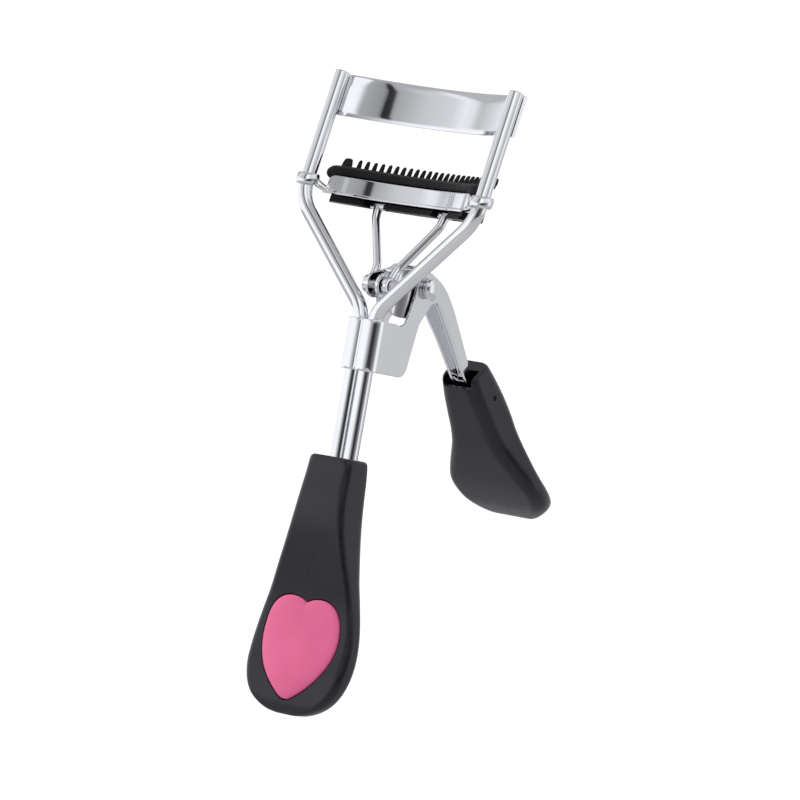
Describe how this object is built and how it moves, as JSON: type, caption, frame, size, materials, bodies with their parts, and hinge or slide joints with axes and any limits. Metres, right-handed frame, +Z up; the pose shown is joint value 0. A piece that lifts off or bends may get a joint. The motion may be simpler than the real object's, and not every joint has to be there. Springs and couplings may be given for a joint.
{
  "type": "eyelash curler",
  "caption": "Scissor-style eyelash curler: chromed wire frame with a bowed upper plate, sliding padded lower jaw with a lash comb, lever and soft-touch grips with a heart inlay.",
  "frame": {"origin": "middle of the object's box at the height of its lowest point, the tip of the front grip", "axes": "+Z up along the front grip and its wires, +Y from the front grip towards the open lever, +X across the jaws"},
  "size_m": [0.04, 0.059, 0.1072],
  "materials": {
    "chrome": "mirror-polished nickel chrome plating",
    "pin_steel": "satin plated steel",
    "soft_touch": "matt soft-touch coating",
    "silicone": "smooth silicone",
    "comb_plastic": "satin black plastic",
    "pink_enamel": "satin pink"
  },
  "bodies": {
    "frame": {"right_frame_wire": "chrome", "left_frame_wire": "chrome", "upper_jaw_plate": "chrome", "clamp_bracket": "chrome", "pivot_rivet": "chrome", "right_pivot_washer": "pin_steel", "left_pivot_washer": "pin_steel", "front_grip": "soft_touch", "heart_inlay": "pink_enamel"},
    "lever": {"lever_channel": "chrome", "rear_grip": "soft_touch", "yoke_pin": "pin_steel"},
    "right_link": {"right_push_rod": "chrome"},
    "left_link": {"left_push_rod": "chrome"},
    "jaw_carriage": {"lower_jaw_bar": "chrome", "silicone_pad": "silicone", "lash_comb": "comb_plastic"}
  },
  "joints": [
    {"name": "lever_pivot", "type": "hinge", "parent": "frame", "child": "lever", "pos_m": [0, -0.0139, 0.0731], "axis": [-1, 0, 0], "range_deg": [-2, 52.5]},
    {"name": "right_link_pivot", "type": "hinge", "parent": "lever", "child": "right_link", "pos_m": [0, -0.0229, 0.0722], "axis": [-1, 0, 0], "range_deg": [-54.8, 2.6]},
    {"name": "left_link_pivot", "type": "hinge", "parent": "lever", "child": "left_link", "pos_m": [0, -0.0229, 0.0722], "axis": [-1, 0, 0], "range_deg": [-54.8, 2.6]},
    {"name": "jaw_slide", "type": "slide", "parent": "frame", "child": "jaw_carriage", "axis": [0, 0.229, 0.9734], "range_m": [-0.00042, 0.00835]}
  ],
  "couplings": [
    {"joint": "right_link_pivot", "follows": "lever_pivot", "ratio": -1.0334},
    {"joint": "left_link_pivot", "follows": "lever_pivot", "ratio": -1.0334},
    {"joint": "jaw_slide", "follows": "lever_pivot", "m_per_rad": 0.009058}
  ]
}
